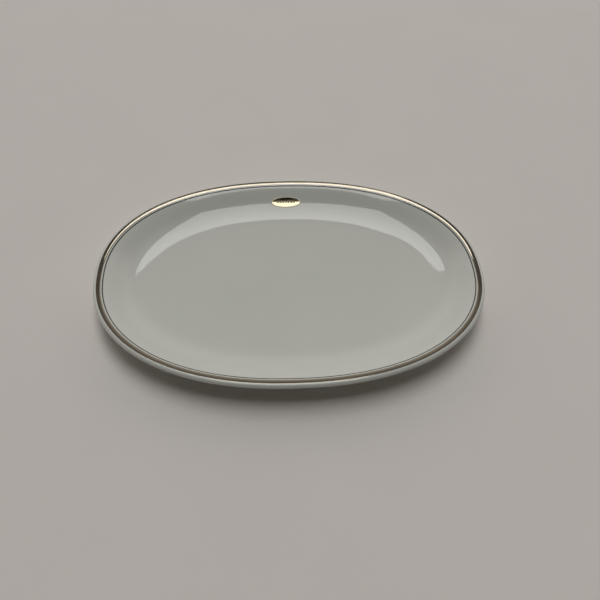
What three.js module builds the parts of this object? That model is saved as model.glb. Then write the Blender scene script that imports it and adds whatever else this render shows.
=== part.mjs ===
import * as THREE from 'three';

// An oval coupe serving platter in glazed porcelain, trimmed with a platinum band and a
// grey line.
// Millimetres, +Z up, long axis along X. The origin is the middle of the oval, on the
// surface that the platter stands on.

// Outline. Every level outline is this oval with both half axes made shorter by one inset.
const LENGTH = 330;
const WIDTH = 229;
const HEIGHT = 25.5;
const OVAL_POWER = 2.224;       // 2 is a plain ellipse, and more gives fuller corners
const OVAL_SEGMENTS = 80;

// Section of the china. Insets are measured inward from the outermost edge of the lip,
// and slopes are in degrees below level, going inward.
const CHINA_THICKNESS = 4.8;
const CROWN_SLOPE = 6.5;        // the inner edge of the nearly level crown of the rim
const CROWN_INSET = 4.7;
const SHOULDER_SLOPE = 28.4;
const SHOULDER_INSET = 8.1;
const WALL_SLOPE = 35;          // the steepest place, at the top of the wall
const WALL_INSET = 15.8;
const BEND_SLOPE = 6;           // where the wall ends in a soft bend into the floor
const BEND_INSET = 36.5;
const FLOOR_SLOPE = 3;          // the floor dips very slightly from its edge
const FLOOR_INSET = 43.5;
const LEVEL_INSET = 100;        // the edge of the level middle of the floor
const LIP_STEP = 30;
const ROLL_STEPS = 2;
const SHOULDER_STEPS = 3;
const WALL_STEPS = 5;
const BEND_STEPS = 2;
const FLOOR_STEPS = 3;

// Fired-on trim: a broad platinum band over the crown of the rim, down to where it has
// rolled over into the well, and a grey hair line at the shoulder.
const BAND_OUTER_SLOPE = 5;
const BAND_OUTER_INSET = 3;
const BAND_INNER_SLOPE = 24;
const BAND_INNER_INSET = 6.2;
const LINE_OUTER_INSET = 7.15;
const TRIM_THICKNESS = 0.12;

// Foot ring: an oval ring under the floor, with a flat face that the platter stands on.
// It grows out of the underside between its two root insets.
const FOOT_INSET = 54;          // the middle of the ring
const FOOT_ROOT_WIDTH = 9;
const FOOT_FACE_WIDTH = 4;
const FOOT_CHAMFER = 0.6;

// Foil label, stuck on the wall at the middle of the +Y side.
const LABEL_WIDTH = 27;
const LABEL_HEIGHT = 10;
const LABEL_SLOPE = 27;         // the wall's slope at the middle of the label
const LABEL_THICKNESS = 0.2;
const LABEL_GAP = 0.25;         // glue line, which also clears the faceted wall
const LABEL_RINGS = 3;
const LABEL_SPOKES = 32;

const LIP_RADIUS = CHINA_THICKNESS / 2;
const FULL_TURN = 2 * Math.PI;

function radians(degrees) {
  return THREE.MathUtils.degToRad(degrees);
}

// A curved stretch of the section, from one slope to another, that ends at a given inset.
// The result gives the stretch's point at any slope between the two.
function slopeArc(start, slopeTo, insetTo) {
  const radius = (insetTo - start.inset) / (Math.sin(slopeTo) - Math.sin(start.slope));
  const pointAt = (slope) => ({
    inset: start.inset + radius * (Math.sin(slope) - Math.sin(start.slope)),
    z: start.z - radius * (Math.cos(start.slope) - Math.cos(slope)),
    slope,
  });
  const slopeAtInset = (inset) => Math.asin(
    Math.sin(start.slope) + (inset - start.inset) / radius,
  );
  return { radius, pointAt, slopeAtInset };
}

// Points of an arc after its start, at equal steps of slope.
function arcPoints(arc, slopeFrom, slopeTo, steps) {
  const points = [];
  for (let step = 1; step <= steps; step += 1) {
    points.push(arc.pointAt(slopeFrom + (slopeTo - slopeFrom) * step / steps));
  }
  return points;
}

// A section point moved off the china's upper surface, along its normal.
function raised(point, distance) {
  return {
    inset: point.inset + distance * Math.sin(point.slope),
    z: point.z + distance * Math.cos(point.slope),
    slope: point.slope,
  };
}

// The upper surface, from the top of the lip inward: crown of the rim, roll, shoulder,
// wall, bend and floor.
const lipTop = { inset: LIP_RADIUS, z: HEIGHT, slope: 0 };
const edgeArc = slopeArc(lipTop, radians(BAND_OUTER_SLOPE), BAND_OUTER_INSET);
const bandStart = edgeArc.pointAt(radians(BAND_OUTER_SLOPE));
const crownArc = slopeArc(bandStart, radians(CROWN_SLOPE), CROWN_INSET);
const rollStart = crownArc.pointAt(radians(CROWN_SLOPE));
const rollArc = slopeArc(rollStart, radians(BAND_INNER_SLOPE), BAND_INNER_INSET);
const bandEnd = rollArc.pointAt(radians(BAND_INNER_SLOPE));
const vergeArc = slopeArc(bandEnd, radians(SHOULDER_SLOPE), SHOULDER_INSET);
const shoulderStart = vergeArc.pointAt(radians(SHOULDER_SLOPE));
const shoulderArc = slopeArc(shoulderStart, radians(WALL_SLOPE), WALL_INSET);
const wallStart = shoulderArc.pointAt(radians(WALL_SLOPE));
const wallArc = slopeArc(wallStart, radians(BEND_SLOPE), BEND_INSET);
const bendStart = wallArc.pointAt(radians(BEND_SLOPE));
const bendArc = slopeArc(bendStart, radians(FLOOR_SLOPE), FLOOR_INSET);
const floorStart = bendArc.pointAt(radians(FLOOR_SLOPE));
const floorArc = slopeArc(floorStart, 0, LEVEL_INSET);

function pointAtInset(arc, inset) {
  return arc.pointAt(arc.slopeAtInset(inset));
}

const bandPoints = [
  bandStart,
  rollStart,
  ...arcPoints(rollArc, rollStart.slope, bandEnd.slope, ROLL_STEPS),
];
const linePoints = [
  pointAtInset(vergeArc, LINE_OUTER_INSET),
  shoulderStart,
];
const footRootPoints = [
  pointAtInset(floorArc, FOOT_INSET - FOOT_ROOT_WIDTH / 2),
  pointAtInset(floorArc, FOOT_INSET + FOOT_ROOT_WIDTH / 2),
];
const wallPoints = [
  ...arcPoints(shoulderArc, shoulderStart.slope, wallStart.slope, SHOULDER_STEPS),
  ...arcPoints(wallArc, wallStart.slope, bendStart.slope, WALL_STEPS),
  ...arcPoints(bendArc, bendStart.slope, floorStart.slope, BEND_STEPS),
];
const floorPoints = [
  ...footRootPoints,
  ...arcPoints(floorArc, footRootPoints[1].slope, 0, FLOOR_STEPS),
];

function ovalPoint(inset, z, turn) {
  const bend = 2 / OVAL_POWER;
  const across = Math.cos(turn);
  const along = Math.sin(turn);
  return new THREE.Vector3(
    (LENGTH / 2 - inset) * Math.sign(across) * Math.abs(across) ** bend,
    (WIDTH / 2 - inset) * Math.sign(along) * Math.abs(along) ** bend,
    z,
  );
}

function closedGeometry(points, triangles) {
  const geometry = new THREE.BufferGeometry();
  geometry.setFromPoints(points);
  geometry.setIndex(triangles);
  geometry.computeVertexNormals();
  return geometry;
}

// The two triangles between neighbouring outlines. The diagonal always runs from the
// outer outline to the inner one, so two pieces that share a stretch of section touch
// exactly.
function quadTriangles(first, second, step, next, firstIsInner) {
  const a = first + step;
  const b = second + step;
  const c = second + next;
  const d = first + next;
  if (firstIsInner) {
    return [a, b, d, b, c, d];
  }
  return [a, b, c, a, c, d];
}

// Sweeps a section round the oval. The section runs outward along its top and back
// inward underneath. A ring's section closes on itself. A dish's starts and ends at the
// oval's centre, at the heights of its first and last points.
function sweptGeometry(section, isRing) {
  const points = [];
  for (const { inset, z } of section) {
    for (let step = 0; step < OVAL_SEGMENTS; step += 1) {
      points.push(ovalPoint(inset, z, FULL_TURN * step / OVAL_SEGMENTS));
    }
  }
  const triangles = [];
  const strips = isRing ? section.length : section.length - 1;
  for (let strip = 0; strip < strips; strip += 1) {
    const following = (strip + 1) % section.length;
    const firstIsInner = section[strip].inset > section[following].inset;
    for (let step = 0; step < OVAL_SEGMENTS; step += 1) {
      triangles.push(...quadTriangles(
        strip * OVAL_SEGMENTS,
        following * OVAL_SEGMENTS,
        step,
        (step + 1) % OVAL_SEGMENTS,
        firstIsInner,
      ));
    }
  }
  if (!isRing) {
    const topCentre = points.length;
    const undersideCentre = topCentre + 1;
    const lastOutline = (section.length - 1) * OVAL_SEGMENTS;
    points.push(new THREE.Vector3(0, 0, section[0].z));
    points.push(new THREE.Vector3(0, 0, section[section.length - 1].z));
    for (let step = 0; step < OVAL_SEGMENTS; step += 1) {
      const next = (step + 1) % OVAL_SEGMENTS;
      triangles.push(topCentre, step, next);
      triangles.push(undersideCentre, lastOutline + next, lastOutline + step);
    }
  }
  return closedGeometry(points, triangles);
}

// The lip is a half round, which joins the upper surface to the underside.
function lipPoints() {
  const points = [];
  for (let degrees = 0; degrees <= 180; degrees += LIP_STEP) {
    points.push({
      inset: LIP_RADIUS * (1 - Math.sin(radians(degrees))),
      z: HEIGHT - LIP_RADIUS * (1 - Math.cos(radians(degrees))),
    });
  }
  return points;
}

// The china has one thickness, so its underside follows the upper surface.
function platterBody() {
  const upper = [...bandPoints, ...linePoints, ...wallPoints, ...floorPoints];
  const underside = [shoulderStart, ...wallPoints, ...floorPoints];
  return sweptGeometry([
    ...upper.reverse(),
    ...lipPoints(),
    ...underside.map((point) => raised(point, -CHINA_THICKNESS)),
  ], false);
}

function footRing() {
  const [outerRoot, innerRoot] = footRootPoints.map((point) => raised(point, -CHINA_THICKNESS));
  const outerFace = FOOT_INSET - FOOT_FACE_WIDTH / 2;
  const innerFace = FOOT_INSET + FOOT_FACE_WIDTH / 2;
  return sweptGeometry([
    innerRoot,
    outerRoot,
    { inset: outerFace - FOOT_CHAMFER, z: FOOT_CHAMFER },
    { inset: outerFace, z: 0 },
    { inset: innerFace, z: 0 },
    { inset: innerFace + FOOT_CHAMFER, z: FOOT_CHAMFER },
  ], true);
}

// A film fired onto a stretch of the rim, shown thicker than the real one.
function firedTrim(points) {
  const top = points.map((point) => raised(point, TRIM_THICKNESS));
  return sweptGeometry([...top.reverse(), ...points], true);
}

// A place on the label, as distances across and up from its middle, raised off the wall.
function labelPoint(across, up, distance) {
  const slope = radians(LABEL_SLOPE) - up / wallArc.radius;
  const { inset, z } = raised(wallArc.pointAt(slope), distance);
  const halfLength = LENGTH / 2 - inset;
  const halfWidth = WIDTH / 2 - inset;
  const fullness = 1 - Math.abs(across / halfLength) ** OVAL_POWER;
  return new THREE.Vector3(across, halfWidth * fullness ** (1 / OVAL_POWER), z);
}

// The label is an oval sheet bent to the wall: a face and a back, joined at the edge.
function foilLabel() {
  const points = [];
  const triangles = [];
  const sides = [LABEL_GAP + LABEL_THICKNESS, LABEL_GAP];
  const pointsPerSide = 1 + LABEL_RINGS * LABEL_SPOKES;
  sides.forEach((distance, side) => {
    const centre = side * pointsPerSide;
    const isBack = side === 1;
    points.push(labelPoint(0, 0, distance));
    for (let ring = 1; ring <= LABEL_RINGS; ring += 1) {
      for (let spoke = 0; spoke < LABEL_SPOKES; spoke += 1) {
        const turn = FULL_TURN * spoke / LABEL_SPOKES;
        const across = LABEL_WIDTH / 2 * ring / LABEL_RINGS * Math.cos(turn);
        const up = LABEL_HEIGHT / 2 * ring / LABEL_RINGS * Math.sin(turn);
        points.push(labelPoint(across, up, distance));
      }
    }
    for (let spoke = 0; spoke < LABEL_SPOKES; spoke += 1) {
      const next = (spoke + 1) % LABEL_SPOKES;
      const first = centre + 1;
      triangles.push(...(isBack
        ? [centre, first + next, first + spoke]
        : [centre, first + spoke, first + next]));
      for (let ring = 1; ring < LABEL_RINGS; ring += 1) {
        const inner = first + (ring - 1) * LABEL_SPOKES;
        const outer = inner + LABEL_SPOKES;
        triangles.push(...(isBack
          ? quadTriangles(outer, inner, spoke, next, false)
          : quadTriangles(inner, outer, spoke, next, true)));
      }
    }
  });
  const faceEdge = 1 + (LABEL_RINGS - 1) * LABEL_SPOKES;
  const backEdge = faceEdge + pointsPerSide;
  for (let spoke = 0; spoke < LABEL_SPOKES; spoke += 1) {
    const next = (spoke + 1) % LABEL_SPOKES;
    triangles.push(...quadTriangles(faceEdge, backEdge, spoke, next, false));
  }
  return closedGeometry(points, triangles);
}

const porcelain = { color: 0xdcdbd3, roughness: 0.08, metalness: 0 };
const bareClay = { color: 0xd8d2c4, roughness: 0.85, metalness: 0 };
const platinum = { color: 0xd8d3c6, roughness: 0.12, metalness: 1 };
const greyEnamel = { color: 0x7c7c78, roughness: 0.2, metalness: 0 };
const foil = { color: 0xe0d6a8, roughness: 0.25, metalness: 1 };

const pieces = [
  ['platter_body', platterBody(), porcelain],
  ['foot_ring', footRing(), bareClay],
  ['rim_band', firedTrim(bandPoints), platinum],
  ['verge_line', firedTrim(linePoints), greyEnamel],
  ['foil_label', foilLabel(), foil],
];

const platter = new THREE.Group();
for (const [name, geometry, look] of pieces) {
  const piece = new THREE.Mesh(geometry, new THREE.MeshStandardMaterial(look));
  piece.name = name;
  platter.add(piece);
}

export default platter;
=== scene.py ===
import math

import bpy
import numpy as np
from mathutils import Matrix, Vector


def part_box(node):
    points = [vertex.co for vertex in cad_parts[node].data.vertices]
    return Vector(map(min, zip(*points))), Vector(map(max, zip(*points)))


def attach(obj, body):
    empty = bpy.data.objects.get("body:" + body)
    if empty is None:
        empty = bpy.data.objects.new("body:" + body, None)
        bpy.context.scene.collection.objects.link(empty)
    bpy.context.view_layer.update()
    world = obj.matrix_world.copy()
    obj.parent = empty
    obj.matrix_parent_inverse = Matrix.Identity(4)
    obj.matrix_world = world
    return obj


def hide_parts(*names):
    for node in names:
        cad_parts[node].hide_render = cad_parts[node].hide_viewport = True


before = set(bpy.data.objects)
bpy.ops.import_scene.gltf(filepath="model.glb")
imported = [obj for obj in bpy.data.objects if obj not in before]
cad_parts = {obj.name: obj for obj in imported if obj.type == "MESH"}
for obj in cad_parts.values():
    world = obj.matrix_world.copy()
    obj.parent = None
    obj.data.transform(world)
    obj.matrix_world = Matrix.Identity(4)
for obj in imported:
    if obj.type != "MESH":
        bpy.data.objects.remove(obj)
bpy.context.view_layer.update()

MM = 0.001

# ---------------------------------------------------------------- driving dimensions
# Metres. The long axis lies along X, and the platter stands on z = 0. The CAD nodes give
# the outer sizes; the rest follows the section that the CAD solids are made from, with
# the metal band's outer edge 0.4 mm further out.
BODY_LOW, BODY_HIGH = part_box("platter_body")
HALF_LENGTH = (BODY_HIGH[0] - BODY_LOW[0]) / 2
HALF_WIDTH = (BODY_HIGH[1] - BODY_LOW[1]) / 2
RIM_TOP = BODY_HIGH[2]
UNDERSIDE = BODY_LOW[2]          # height of the middle of the underside
OVAL_POWER = 2.224

CHINA_THICKNESS = 4.8 * MM
LIP_RADIUS = CHINA_THICKNESS / 2
FLOOR_HEIGHT = UNDERSIDE + CHINA_THICKNESS
# Slope of the upper surface, in degrees, at insets from the outermost edge of the lip.
SLOPES = (
    (LIP_RADIUS, 0.0),
    (2.6 * MM, 4.7),
    (4.7 * MM, 6.5),
    (6.2 * MM, 24.0),
    (8.1 * MM, 28.4),
    (15.8 * MM, 35.0),
    (36.5 * MM, 6.0),
    (43.5 * MM, 3.0),
    (100 * MM, 0.0),
)
LEVEL_INSET = SLOPES[-1][0]

BAND_OUTER_INSET = 2.6 * MM
BAND_INNER_INSET = 6.2 * MM
LINE_OUTER_INSET = 7.15 * MM
LINE_INNER_INSET = 8.1 * MM
FILM_THICKNESS = 0.05 * MM
FILM_EDGE = 0.16 * MM           # how far in from its edge the film is thinner
FILM_EDGE_SHARES = (0.3, 0.65)  # shares of that width at which the edge's curve has points
FILM_FACE_POINTS = 14           # points across the rest of the film
FILM_SINK = 0.06 * MM           # how deep the film's hidden side lies in the glaze
FILM_EDGE_SINK = 0.01 * MM
OUTER_WANDER = 0.035 * MM       # unsteadiness of the brushed edges
INNER_WANDER = 0.05 * MM
WANDER_WAVES = (2, 3, 5, 9, 17, 31)     # waves per turn, the later ones weaker
WANDER_SUM = 2.4                # about the most they add up to

FOOT_INSET = 54 * MM
FOOT_ROOT_WIDTH = 9 * MM
FOOT_FACE_WIDTH = 4 * MM
FOOT_ROUND = 0.6 * MM
FOOT_FLARE = 0.45               # under 1 leaves the root in a hollow curve
FOOT_SINK = 0.4 * MM            # how far the ring reaches into the china
FOOT_FLANK_POINTS = 10
FOOT_ROUND_POINTS = 6

LABEL_WIDTH = 27 * MM
LABEL_HEIGHT = 10 * MM
LABEL_INSET = 21 * MM
LABEL_THICKNESS = 0.12 * MM
LABEL_GAP = 0.04 * MM
LABEL_TILT = math.radians(1.4)  # the stiff foil stands off the wall at its lower edge
# Two ridges stamped round the label: share of the half size, height and half width.
LABEL_RIDGES = ((0.90, 0.016 * MM, 0.030), (0.79, 0.010 * MM, 0.022))
LABEL_EDGE_DROP = 0.03 * MM     # how far the face turns down at the label's edge
LABEL_SPOKES = 288              # points round the label
LABEL_CIRCLES = 56              # rings of points from its middle to its edge
PIP_RELIEF = 0.05 * MM
# A row of plain dots across the label, in millimetres.
PIP_COUNT = 7
PIP_PITCH = 2.5
PIP_WIDTH = 1.5
PIP_HEIGHT = 3.2
PIP_RISE = 0.3

# Slow unevenness of the china's height, left by the firing.
TWIST = 0.09 * MM
SAG = 0.07 * MM

TURN_STEPS = 400                # points round every outline
SECTION_STEPS = 4000            # places at which the section is worked out
# Rim, wall, bend and floor of the upper surface: the inset at which each stretch ends, and
# its number of rings.
SURFACE_STRETCHES = ((10 * MM, 35), (34 * MM, 39), (47 * MM, 29), (LEVEL_INSET, 29))
LIP_STEPS = 31                  # stretches round the half round of the lip
LEVEL_RINGS = 7                 # rings on the level middle of the floor
LEVEL_INNER_SHARE = 0.06        # size of the smallest of them, as a share of the level part
FULL_TURN = 2 * math.pi


# ---------------------------------------------------------------- section and outline
def slope_sines(insets):
    """Sine of the slope at each inset, on a curve without corners through SLOPES."""
    at = np.array([inset for inset, _ in SLOPES])
    sine = np.sin(np.radians([slope for _, slope in SLOPES]))
    rise = np.diff(sine) / np.diff(at)
    lean = np.zeros(len(at))
    lean[0], lean[-1] = rise[0], rise[-1]
    for k in range(1, len(at) - 1):
        if rise[k - 1] * rise[k] > 0:
            lean[k] = 2 * rise[k - 1] * rise[k] / (rise[k - 1] + rise[k])
    k = np.clip(np.searchsorted(at, insets, side="right") - 1, 0, len(rise) - 1)
    width = (at[1:] - at[:-1])[k]
    t = np.clip((insets - at[k]) / width, 0, 1)
    return (
        (2 * t**3 - 3 * t**2 + 1) * sine[k]
        + (t**3 - 2 * t**2 + t) * width * lean[k]
        + (3 * t**2 - 2 * t**3) * sine[k + 1]
        + (t**3 - t**2) * width * lean[k + 1]
    )


def upper_surface():
    """Insets, heights and slopes of the upper surface from the lip to the flat floor."""
    insets = np.linspace(LIP_RADIUS, LEVEL_INSET, SECTION_STEPS)
    slopes = np.arcsin(np.clip(slope_sines(insets), -1, 1))
    steps = (np.tan(slopes[1:]) + np.tan(slopes[:-1])) / 2 * np.diff(insets)
    drop = np.concatenate([[0], np.cumsum(steps)])
    scale = (RIM_TOP - FLOOR_HEIGHT) / drop[-1]
    return insets, RIM_TOP - drop * scale, np.arctan(np.tan(slopes) * scale)


SURFACE_INSETS, SURFACE_HEIGHTS, SURFACE_SLOPES = upper_surface()


def surface_point(inset, lift=0.0):
    """(inset, height) of the upper surface at this inset, moved off it by lift."""
    height = np.interp(inset, SURFACE_INSETS, SURFACE_HEIGHTS)
    slope = np.interp(inset, SURFACE_INSETS, SURFACE_SLOPES)
    return inset + lift * math.sin(slope), height + lift * math.cos(slope)


def oval(half_x, half_y, turns):
    """Points of an oval outline at these turns."""
    c, s = np.cos(turns), np.sin(turns)
    bend = 2 / OVAL_POWER
    return (
        half_x * np.sign(c) * np.abs(c) ** bend,
        half_y * np.sign(s) * np.abs(s) ** bend,
    )


def warp(x, y):
    """Height that the firing has moved the china by: a slow twist and sag."""
    u, v = x / HALF_LENGTH, y / HALF_WIDTH
    return TWIST * u * v + SAG * np.sin(2.1 * u + 0.6) * np.cos(1.7 * v - 0.4)


# ---------------------------------------------------------------- mesh helpers
def new_piece(name, vertices, faces, node, materials, lanes=None, face_slots=None):
    """A smooth mesh piece that stands for a CAD node."""
    mesh = bpy.data.meshes.new(name)
    mesh.from_pydata([tuple(v) for v in vertices], [], faces)
    mesh.validate()
    mesh.polygons.foreach_set("use_smooth", [True] * len(mesh.polygons))
    if lanes is not None:
        layer = mesh.attributes.new("lane", "FLOAT_VECTOR", "POINT")
        layer.data.foreach_set("vector", np.asarray(lanes, dtype=np.float32).ravel())
    piece = bpy.data.objects.new(name, mesh)
    bpy.context.scene.collection.objects.link(piece)
    for material in materials:
        mesh.materials.append(material)
    if face_slots is not None:
        mesh.polygons.foreach_set("material_index", face_slots)
    mesh.update()
    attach(piece, "root")
    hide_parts(node)
    return piece


def strip(a, b):
    """Faces between two outlines whose points start at a and at b."""
    for j in range(TURN_STEPS):
        n = (j + 1) % TURN_STEPS
        yield a + j, a + n, b + n, b + j


def swept(rings, closed):
    """Vertices and faces of outlines joined in order. A ring is (half_x, half_y, height)
    and the first and last of an open sweep are capped at the middle."""
    turns = np.linspace(0, FULL_TURN, TURN_STEPS, endpoint=False)
    vertices = []
    for half_x, half_y, height in rings:
        x, y = oval(half_x, half_y, turns)
        z = height + warp(x, y) * min(1.0, height / UNDERSIDE)
        vertices.extend(zip(x, y, z))
    faces = []
    strips = len(rings) if closed else len(rings) - 1
    for k in range(strips):
        faces.extend(strip(k * TURN_STEPS, (k + 1) % len(rings) * TURN_STEPS))
    if not closed:
        for first, height, flip in (
            (0, rings[0][2], False),
            ((len(rings) - 1) * TURN_STEPS, rings[-1][2], True),
        ):
            middle = len(vertices)
            vertices.append((0.0, 0.0, height + float(warp(0.0, 0.0))))
            for j in range(TURN_STEPS):
                n = (j + 1) % TURN_STEPS
                face = (middle, first + n, first + j)
                faces.append(face[::-1] if flip else face)
    return vertices, faces


def ring_at(inset, height):
    return HALF_LENGTH - inset, HALF_WIDTH - inset, height


# ---------------------------------------------------------------- the pieces
def upper_insets():
    """Insets that follow the upper surface closely, closer where it bends most."""
    insets = [LIP_RADIUS]
    for end, count in SURFACE_STRETCHES:
        insets.extend(np.linspace(insets[-1], end, count + 1)[1:])
    return insets


def china_body(glaze):
    """The whole dish: floor, wall, rim, rounded lip and underside."""
    level_x, level_y, _ = ring_at(LEVEL_INSET, 0)
    scales = np.linspace(LEVEL_INNER_SHARE, 1, LEVEL_RINGS + 1)[:-1]
    rings = [(level_x * s, level_y * s, FLOOR_HEIGHT) for s in scales]
    rings += [ring_at(*surface_point(inset)) for inset in upper_insets()[::-1]]
    for turn in np.linspace(0, math.pi, LIP_STEPS + 1)[1:-1]:
        rings.append(ring_at(
            LIP_RADIUS - LIP_RADIUS * math.sin(turn),
            RIM_TOP - LIP_RADIUS * (1 - math.cos(turn)),
        ))
    for inset in upper_insets()[::2]:
        rings.append(ring_at(*surface_point(inset, -CHINA_THICKNESS)))
    rings += [(level_x * s, level_y * s, UNDERSIDE) for s in scales[::-1]]
    vertices, faces = swept(rings, closed=False)
    return new_piece("china", vertices, faces, "platter_body", [glaze])


def foot(glaze, clay):
    """The standing ring. Its flanks are glazed and its ground face is bare."""
    half_root, half_face = FOOT_ROOT_WIDTH / 2, FOOT_FACE_WIDTH / 2
    shoulder = half_face + FOOT_ROUND

    def flank(side):
        root = surface_point(FOOT_INSET + side * half_root, -CHINA_THICKNESS)
        points = [(root[0], root[1] + FOOT_SINK)]
        for t in np.linspace(0, 1, FOOT_FLANK_POINTS):
            across = half_root + (shoulder - half_root) * t ** FOOT_FLARE
            points.append((FOOT_INSET + side * across, root[1] + (FOOT_ROUND - root[1]) * t))
        for t in np.linspace(0, 1, FOOT_ROUND_POINTS)[1:]:
            turn = t * math.pi / 2
            across = half_face + FOOT_ROUND * math.cos(turn)
            points.append((FOOT_INSET + side * across, FOOT_ROUND * (1 - math.sin(turn))))
        return points

    outer, inner = flank(-1), flank(1)
    face = [(FOOT_INSET + share * half_face, 0.0) for share in (-0.5, 0.0, 0.5)]
    section = outer + face + inner[::-1]
    vertices, faces = swept([ring_at(*point) for point in section], closed=True)
    glazed = FOOT_FLANK_POINTS + FOOT_ROUND_POINTS // 2
    face_slots = []
    for k in range(len(section)):
        bare = glazed <= k < len(section) - 1 - glazed
        face_slots += [int(bare)] * TURN_STEPS
    return new_piece(
        "foot", vertices, faces, "foot_ring", [glaze, clay],
        face_slots=face_slots,
    )


def edge_wander(turns, seed, size):
    """Unsteadiness of a line laid on by hand with a brush, on a wheel."""
    wave = 0
    for k, count in enumerate(WANDER_WAVES):
        wave = wave + np.sin(count * turns + seed * (k + 1) * 1.7) / (1 + 0.5 * k)
    return size * wave / WANDER_SUM


def film_section(wide):
    """Shares of the film's width, and lifts off the china, round its thin section."""
    edge = FILM_EDGE / wide
    near_edge = [share * FILM_EDGE / wide for share in FILM_EDGE_SHARES]
    shares = near_edge + list(np.linspace(edge, 1 - edge, FILM_FACE_POINTS))
    shares += [1 - share for share in near_edge[::-1]]
    section = [(0, -FILM_EDGE_SINK)]
    for share in shares:
        near = min(min(share, 1 - share) * wide / FILM_EDGE, 1)
        section.append((share, FILM_THICKNESS * math.sqrt(near * (2 - near))))
    section.append((1, -FILM_EDGE_SINK))
    return section + [(share, -FILM_SINK) for share in shares[::-1]]


def film(name, outer, inner, node, finish, seed):
    """A band of fired-on trim between two insets, thinner toward its edges."""
    turns = np.linspace(0, FULL_TURN, TURN_STEPS, endpoint=False)
    wide = inner - outer
    outer_edge = outer + edge_wander(turns, seed, OUTER_WANDER)
    inner_edge = inner + edge_wander(turns, seed + 2, INNER_WANDER)
    vertices, lanes, faces = [], [], []
    levels = film_section(wide)
    for share, lift in levels:
        insets = outer_edge + (inner_edge - outer_edge) * share
        height = np.interp(insets, SURFACE_INSETS, SURFACE_HEIGHTS)
        slope = np.interp(insets, SURFACE_INSETS, SURFACE_SLOPES)
        at = insets + lift * np.sin(slope)
        z = height + lift * np.cos(slope)
        x, y = oval(1.0, 1.0, turns)
        x, y = x * (HALF_LENGTH - at), y * (HALF_WIDTH - at)
        vertices.extend(zip(x, y, z + warp(x, y)))
        lanes.extend(zip(np.cos(turns), np.sin(turns), np.full(TURN_STEPS, share * wide / MM)))
    for k in range(len(levels)):
        faces.extend(strip((k + 1) % len(levels) * TURN_STEPS, k * TURN_STEPS))
    return new_piece(name, vertices, faces, node, [finish], lanes=lanes)


def stamped_height(across, up):
    """How far the label's face stands up, at a place given as shares of its half sizes."""
    reach = math.hypot(across, up)
    height = 0.0
    for place, relief, spread in LABEL_RIDGES:
        height += relief * math.exp(-((reach - place) / spread) ** 2)
    x, y = across * LABEL_WIDTH / 2 / MM, up * LABEL_HEIGHT / 2 / MM
    column = round(x / PIP_PITCH)
    if abs(column) <= PIP_COUNT // 2:
        near = math.hypot(
            (x - column * PIP_PITCH) / (PIP_WIDTH / 2), (y - PIP_RISE) / (PIP_HEIGHT / 2),
        )
        height += PIP_RELIEF * max(0.0, 1 - near ** 2)
    return height


def label(foil):
    """A thin oval foil sticker, pressed onto the wall, with a stamped border and pips."""
    # How far down the wall each inset near the label lies, measured along the wall.
    reach = 0.8 * LABEL_HEIGHT
    insets = np.linspace(LABEL_INSET - reach, LABEL_INSET + reach, 400)
    slopes = np.interp(insets, SURFACE_INSETS, SURFACE_SLOPES)
    steps = np.diff(insets) / np.cos((slopes[1:] + slopes[:-1]) / 2)
    down_wall = np.concatenate([[0], np.cumsum(steps)])
    down_wall -= np.interp(LABEL_INSET, insets, down_wall)

    def place(across, up, lift):
        inset = float(np.interp(-up, down_wall, insets))
        lift += (LABEL_HEIGHT / 2 - up) * math.tan(LABEL_TILT)
        at, z = surface_point(inset, lift)
        fullness = 1 - abs(across / (HALF_LENGTH - at)) ** OVAL_POWER
        y = (HALF_WIDTH - at) * fullness ** (1 / OVAL_POWER)
        return across, y, z + float(warp(across, y))

    vertices, faces, lanes = [], [], []
    for side in (1, 0):
        start = len(vertices)
        lift = LABEL_GAP + LABEL_THICKNESS * side
        for circle in range(LABEL_CIRCLES + 1):
            share = circle / LABEL_CIRCLES
            for spoke in range(LABEL_SPOKES if circle else 1):
                turn = FULL_TURN * spoke / LABEL_SPOKES
                across, up = share * math.cos(turn), share * math.sin(turn)
                raised = stamped_height(across, up)
                if side and circle == LABEL_CIRCLES:
                    raised = -LABEL_EDGE_DROP
                x, y = across * LABEL_WIDTH / 2, up * LABEL_HEIGHT / 2
                vertices.append(place(x, y, lift + raised * side))
                lanes.append((x / MM, y / MM, side))
        for spoke in range(LABEL_SPOKES):
            n = (spoke + 1) % LABEL_SPOKES
            face = (start, start + 1 + spoke, start + 1 + n)
            faces.append(face if side else face[::-1])
            for circle in range(1, LABEL_CIRCLES):
                a = start + 1 + (circle - 1) * LABEL_SPOKES
                b = a + LABEL_SPOKES
                face = (a + spoke, b + spoke, b + n, a + n)
                faces.append(face if side else face[::-1])
    upper_edge = 1 + (LABEL_CIRCLES - 1) * LABEL_SPOKES
    lower_edge = 1 + LABEL_CIRCLES * LABEL_SPOKES + upper_edge
    for spoke in range(LABEL_SPOKES):
        n = (spoke + 1) % LABEL_SPOKES
        faces.append((upper_edge + spoke, lower_edge + spoke, lower_edge + n, upper_edge + n))
    return new_piece("label", vertices, faces, "foil_label", [foil], lanes=lanes)


# ---------------------------------------------------------------- materials
def colour(r, g, b):
    return (r, g, b, 1.0)


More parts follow.
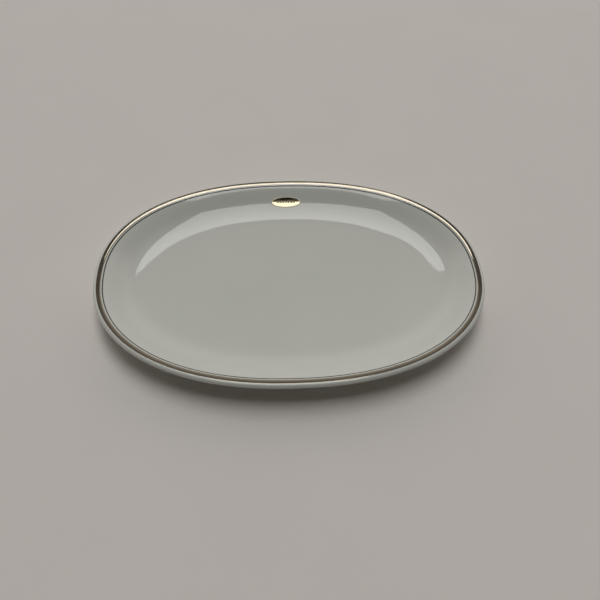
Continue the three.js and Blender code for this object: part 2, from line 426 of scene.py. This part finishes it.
GLAZE_TINTS = (colour(0.742, 0.764, 0.704), colour(0.764, 0.778, 0.726))
GLAZE_SPECK = colour(0.42, 0.37, 0.30)
CLAY_TINTS = (colour(0.66, 0.63, 0.56), colour(0.52, 0.48, 0.42))
CLAY_GRIT = colour(0.38, 0.33, 0.27)
METAL_TINTS = (colour(0.28, 0.25, 0.198), colour(0.32, 0.287, 0.23))
LINE_TINTS = (colour(0.045, 0.045, 0.043), colour(0.09, 0.09, 0.085))
FOIL_TINTS = (colour(0.34, 0.30, 0.20), colour(0.38, 0.345, 0.235))
FOIL_DOTS = colour(0.035, 0.03, 0.022)
PAPER_TINTS = (colour(0.850, 0.812, 0.772), colour(0.882, 0.842, 0.802))
PLAIN_LANE = (1.0, 1.0, 1.0)
NOISE_RANGE = (0.3, 0.7)        # nearly all of a noise lies between these


# Noise scales count waves per metre, except on a lane, whose three numbers follow the shape
# of the piece. On a film they are the two of the direction round the platter and the
# millimetres across the film. On the label they are its millimetres across and up, and 1
# for its face or 0 for its back.
class Nodes:
    """Short ways to add shader nodes to one material."""

    def __init__(self, name):
        self.material = bpy.data.materials.new(name)
        self.material.use_nodes = True
        self.tree = self.material.node_tree
        self.shader = self.tree.nodes["Principled BSDF"]

    def add(self, kind, inputs=(), **settings):
        node = self.tree.nodes.new(kind)
        for key, value in settings.items():
            setattr(node, key, value)
        for socket, value in dict(inputs).items():
            self.put(node.inputs[socket], value)
        return node

    def put(self, socket, value):
        if isinstance(value, bpy.types.NodeSocket):
            self.tree.links.new(value, socket)
        else:
            socket.default_value = value

    def set(self, **inputs):
        for key, value in inputs.items():
            self.put(self.shader.inputs[key.replace("_", " ")], value)

    def place(self):
        return self.add("ShaderNodeTexCoord").outputs["Object"]

    def lane(self, scale):
        lane = self.add("ShaderNodeAttribute", attribute_name="lane").outputs["Vector"]
        return self.add(
            "ShaderNodeVectorMath", {0: lane, 1: scale}, operation="MULTIPLY"
        ).outputs["Vector"]

    def noise(self, where, scale, detail=2.0, roughness=0.5):
        return self.add("ShaderNodeTexNoise", {
            "Vector": where, "Scale": scale, "Detail": detail, "Roughness": roughness,
        }).outputs["Fac"]

    def spread(self, value, low, high, to_low, to_high):
        return self.add("ShaderNodeMapRange", {
            "Value": value, "From Min": low, "From Max": high,
            "To Min": to_low, "To Max": to_high,
        }).outputs["Result"]

    def vary(self, noise, to_low, to_high):
        return self.spread(noise, *NOISE_RANGE, to_low, to_high)

    def calc(self, operation, first, second):
        return self.add("ShaderNodeMath", {0: first, 1: second}, operation=operation).outputs[0]

    def pips(self):
        """1 inside the dots of the label's row, 0 elsewhere, with soft edges."""
        lane = self.lane(PLAIN_LANE)
        x, y, _ = self.add("ShaderNodeSeparateXYZ", {"Vector": lane}).outputs
        folded = self.calc("PINGPONG", self.calc("ADD", x, PIP_PITCH / 2), PIP_PITCH / 2)
        across = self.calc(
            "DIVIDE", self.calc("SUBTRACT", folded, PIP_PITCH / 2), PIP_WIDTH / 2,
        )
        up = self.calc("DIVIDE", self.calc("SUBTRACT", y, PIP_RISE), PIP_HEIGHT / 2)
        reach = self.calc(
            "ADD", self.calc("MULTIPLY", across, across), self.calc("MULTIPLY", up, up),
        )
        dots = self.spread(reach, 0.8, 1.2, 1, 0)
        row_end = (PIP_COUNT // 2 + 0.5) * PIP_PITCH
        row = self.calc("LESS_THAN", self.calc("ABSOLUTE", x, 0.0), row_end)
        return self.calc("MULTIPLY", dots, row)

    def mix(self, share, first, second):
        node = self.add("ShaderNodeMix", data_type="RGBA")
        self.put(node.inputs["Factor"], share)
        self.put(node.inputs["A"], first)
        self.put(node.inputs["B"], second)
        return node.outputs["Result"]

    def bump(self, height, distance, strength=1.0, normal=None):
        inputs = {"Height": height, "Distance": distance, "Strength": strength}
        if normal is not None:
            inputs["Normal"] = normal
        return self.add("ShaderNodeBump", inputs).outputs["Normal"]


def glaze_material():
    """White porcelain under a clear glaze: faint tint drift, rare specks, soft ripple."""
    m = Nodes("porcelain")
    here = m.place()
    drift = m.vary(m.noise(here, 14.0, 3.0), 0, 1)
    speck = m.spread(m.noise(here, 420.0, 1.0), 0.80, 0.84, 0, 0.35)
    m.set(Base_Color=m.mix(speck, m.mix(drift, *GLAZE_TINTS), GLAZE_SPECK))
    m.set(Roughness=m.vary(m.noise(here, 60.0, 3.0), 0.035, 0.065))
    m.set(IOR=1.5)
    ripple = m.bump(m.noise(here, 55.0, 1.0), 0.03 * MM)
    m.set(Normal=m.bump(m.noise(here, 420.0, 1.0), 0.0015 * MM, normal=ripple))
    return m.material


def clay_material():
    """Unglazed fired clay: dry, slightly grey where it has stood, with fine grit."""
    m = Nodes("bare_clay")
    here = m.place()
    grit = m.noise(here, 1500.0, 4.0, 0.7)
    stain = m.spread(m.noise(here, 45.0, 4.0, 0.6), 0.35, 0.7, 0, 1)
    dark_grit = m.spread(grit, 0.6, 0.75, 0, 0.5)
    m.set(Base_Color=m.mix(dark_grit, m.mix(stain, *CLAY_TINTS), CLAY_GRIT))
    m.set(Roughness=m.vary(grit, 0.75, 0.95))
    m.set(Normal=m.bump(grit, 0.06 * MM))
    return m.material


def metal_material():
    """Burnished platinum: brush streaks run along the band, with a slightly uneven sheen."""
    m = Nodes("platinum")
    here = m.place()
    streak = m.noise(m.lane((9.0, 9.0, 6.5)), 1.0, 4.0, 0.65)
    m.set(Base_Color=m.mix(m.vary(m.noise(here, 90.0, 3.0), 0, 1), *METAL_TINTS))
    m.set(Metallic=1.0)
    m.set(Roughness=m.vary(streak, 0.045, 0.085))
    ripple = m.bump(m.noise(here, 160.0, 2.0), 0.006 * MM)
    m.set(Normal=m.bump(streak, 0.0012 * MM, normal=ripple))
    return m.material


def line_material():
    """Dark grey enamel line under the gloss, a little thinner and paler in places."""
    m = Nodes("grey_line")
    flow = m.noise(m.lane((12.0, 12.0, 2.0)), 1.0, 3.0, 0.6)
    m.set(Base_Color=m.mix(m.vary(flow, 0, 1), *LINE_TINTS))
    m.set(Roughness=m.vary(flow, 0.16, 0.28))
    m.set(IOR=1.4)
    m.set(Normal=m.bump(flow, 0.004 * MM))
    return m.material


def foil_material():
    """Gold-toned foil: a fine crinkle and a brushed grain across the label."""
    m = Nodes("foil")
    grain = m.noise(m.lane((0.7, 9.0, 1.0)), 1.0, 4.0, 0.6)
    crinkle = m.noise(m.lane(PLAIN_LANE), 0.9, 3.0, 0.5)
    worn = m.spread(crinkle, 0.35, 0.7, 0, 1)
    m.set(Base_Color=m.mix(m.pips(), m.mix(worn, *FOIL_TINTS), FOIL_DOTS))
    m.set(Metallic=1.0)
    m.set(Roughness=m.vary(grain, 0.06, 0.10))
    soft = m.bump(crinkle, 0.01 * MM)
    m.set(Normal=m.bump(grain, 0.001 * MM, normal=soft))
    return m.material


def paper_material():
    """A pale matt surface with a barely visible tooth, and slow clouds of tone."""
    m = Nodes("paper")
    here = m.place()
    tooth = m.vary(m.noise(here, 900.0, 3.0), 0, 0.5)
    cloud = m.vary(m.noise(here, 11.0, 3.0), 0, 0.5)
    m.set(Base_Color=m.mix(m.calc("ADD", tooth, cloud), *PAPER_TINTS))
    m.set(Roughness=0.9)
    m.put(m.shader.inputs["Specular IOR Level"], 0.2)
    return m.material


# ---------------------------------------------------------------- stage, light, camera
FLOOR_HALF = 4.0                # half the floor's width

# The panel: its height above the rim, and its edges as shares of that height.
SOFTBOX_HEIGHT = 6.0
SOFTBOX_X = (-0.21, 0.238)
SOFTBOX_Y = (-0.17, 0.76)
SOFTBOX_SPIN = 0.05             # radians about Z
SOFTBOX_RADIANCE = 3.5
SOFTBOX_TINT = (1.0, 0.99, 0.975)

# Light of the room by direction. Each row says where a change begins and ends, as a part of
# the unit direction, and the strength before and after it.
BACKDROP_TOP = (0.64, 0.80, 0.69, 0.07)     # upward part
BACKDROP_FOOT = (0.20, 0.45, 0.6, 1.0)      # upward part
BACKDROP_SIDE = (0.22, 0.55, 0.0, 1.0)      # part toward the back
LOW_LIGHT = (0.08, 0.25, 0.05, 0.015)       # upward part
ROOM_TINT = (1.0, 0.94, 0.885)

# Heights here are above the grey line.
CAMERA_EYE = (-0.0276, -0.3629, 0.4198)
CAMERA_AIM = (0.0056, -0.0320, 0.0)
CAMERA_LENS = 39.09             # millimetres, on a 36 mm sensor
CAMERA_ROLL = math.radians(2.94)


def table(paper):
    """A wide level floor."""
    corners = ((-1, -1), (1, -1), (1, 1), (-1, 1))
    vertices = [(x * FLOOR_HALF, y * FLOOR_HALF, 0.0) for x, y in corners]
    mesh = bpy.data.meshes.new("floor")
    mesh.from_pydata(vertices, [], [(0, 1, 2, 3)])
    mesh.materials.append(paper)
    floor = bpy.data.objects.new("floor", mesh)
    bpy.context.scene.collection.objects.link(floor)


def softbox():
    """One large diffuse panel, above and behind the platter."""
    light = bpy.data.lights.new("softbox", "AREA")
    light.shape = "RECTANGLE"
    light.size = (SOFTBOX_X[1] - SOFTBOX_X[0]) * SOFTBOX_HEIGHT
    light.size_y = (SOFTBOX_Y[1] - SOFTBOX_Y[0]) * SOFTBOX_HEIGHT
    light.energy = SOFTBOX_RADIANCE * math.pi * light.size * light.size_y
    light.color = SOFTBOX_TINT
    lamp = bpy.data.objects.new("softbox", light)
    middle = Vector((sum(SOFTBOX_X) / 2, sum(SOFTBOX_Y) / 2, 1.0)) * SOFTBOX_HEIGHT
    spin = Matrix.Rotation(SOFTBOX_SPIN, 4, "Z")
    lamp.matrix_world = Matrix.Translation(spin @ middle + Vector((0, 0, RIM_TOP))) @ spin
    bpy.context.scene.collection.objects.link(lamp)


def room():
    """A dim room: a dark ceiling, a grey-brown backdrop behind, a little light low down."""
    world = bpy.data.worlds.new("room")
    world.use_nodes = True
    bpy.context.scene.world = world
    tree = world.node_tree

    def node(kind, inputs, **settings):
        made = tree.nodes.new(kind)
        for key, value in settings.items():
            setattr(made, key, value)
        for socket, value in inputs.items():
            if isinstance(value, bpy.types.NodeSocket):
                tree.links.new(value, made.inputs[socket])
            else:
                made.inputs[socket].default_value = value
        return made.outputs

    def ramp(value, low, high, to_low, to_high):
        return node("ShaderNodeMapRange", {
            "Value": value, "From Min": low, "From Max": high,
            "To Min": to_low, "To Max": to_high,
        }, interpolation_type="SMOOTHSTEP")["Result"]

    def calc(operation, first, second):
        return node("ShaderNodeMath", {0: first, 1: second}, operation=operation)[0]

    where = node("ShaderNodeTexCoord", {})["Generated"]
    parts = node("ShaderNodeSeparateXYZ", {"Vector": where})
    below_top = ramp(parts["Z"], *BACKDROP_TOP)
    above_foot = ramp(parts["Z"], *BACKDROP_FOOT)
    behind = ramp(parts["Y"], *BACKDROP_SIDE)
    low_light = ramp(parts["Z"], *LOW_LIGHT)
    backdrop = calc("MULTIPLY", below_top, calc("MULTIPLY", above_foot, behind))
    strength = calc("MAXIMUM", backdrop, low_light)
    background = tree.nodes["Background"]
    background.inputs["Color"].default_value = colour(*ROOM_TINT)
    tree.links.new(strength, background.inputs["Strength"])


def camera():
    """The view from in front and above."""
    verge = surface_point((LINE_OUTER_INSET + LINE_INNER_INSET) / 2)[1]
    data = bpy.data.cameras.new("camera")
    data.sensor_width = 36
    data.lens = CAMERA_LENS
    data.clip_start = 0.01
    data.clip_end = 40
    eye = Vector(CAMERA_EYE) + Vector((0, 0, verge))
    aim = Vector(CAMERA_AIM) + Vector((0, 0, verge))
    turn = (aim - eye).to_track_quat("-Z", "Y").to_matrix().to_4x4()
    roll = Matrix.Rotation(CAMERA_ROLL, 4, "Z")
    shot = bpy.data.objects.new("camera", data)
    shot.matrix_world = Matrix.Translation(eye) @ turn @ roll
    bpy.context.scene.collection.objects.link(shot)
    bpy.context.scene.camera = shot


glaze = glaze_material()
china_body(glaze)
foot(glaze, clay_material())
film(
    "rim_film", BAND_OUTER_INSET, BAND_INNER_INSET, "rim_band",
    metal_material(), 1.0,
)
film(
    "verge_film", LINE_OUTER_INSET, LINE_INNER_INSET, "verge_line",
    line_material(), 5.0,
)
label(foil_material())
table(paper_material())
softbox()
room()
camera()
bpy.context.scene.view_settings.view_transform = "Standard"
